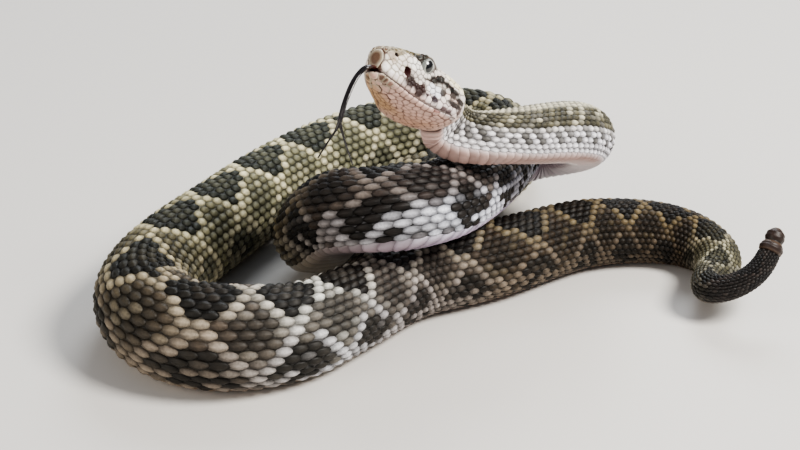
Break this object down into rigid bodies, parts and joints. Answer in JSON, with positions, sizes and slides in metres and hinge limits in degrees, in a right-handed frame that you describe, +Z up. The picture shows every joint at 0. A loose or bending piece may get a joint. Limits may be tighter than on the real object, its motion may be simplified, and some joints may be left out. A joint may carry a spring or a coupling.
{
  "type": "coiled rattlesnake",
  "caption": "Young rattlesnake at life size, lying in a loose pile of coils with its head raised, its forked tongue out and its rattle lifted.",
  "frame": {"origin": "middle of the plan outline, on the ground the coils lie on", "axes": "+Z up; the head and tongue point towards -X and -Y, the front coil runs along -Y, and the tail and rattle end at +X"},
  "size_m": [0.2022, 0.1716, 0.0927],
  "materials": {
    "skin": "matt scales, dark blotches with pale edges",
    "pale_skin": "matt scales, pale grey to cream",
    "head_skin": "smooth lip plates and small matt scales",
    "dark_skin": "matt keeled scales, near black",
    "rattle": "horny, dull shine",
    "eyes": "wet, silver-grey iris with an upright slit pupil",
    "tongue": "moist, near black"
  },
  "bodies": {
    "root": {"head": "head_skin", "lower_jaw": "pale_skin", "eye_left": "eyes", "eye_right": "eyes", "tongue": "tongue", "neck_front": "pale_skin", "neck_bend": "pale_skin", "neck_rear": "pale_skin", "trunk_01": "skin", "trunk_02": "skin", "trunk_03": "skin", "trunk_04": "skin", "trunk_05": "skin", "trunk_06": "skin", "trunk_07": "skin", "trunk_08": "skin", "trunk_09": "skin", "trunk_10": "skin", "trunk_11": "skin", "trunk_12": "skin", "trunk_13": "skin", "tail_base": "skin", "tail_tip": "dark_skin", "rattle": "rattle"}
  },
  "joints": []
}
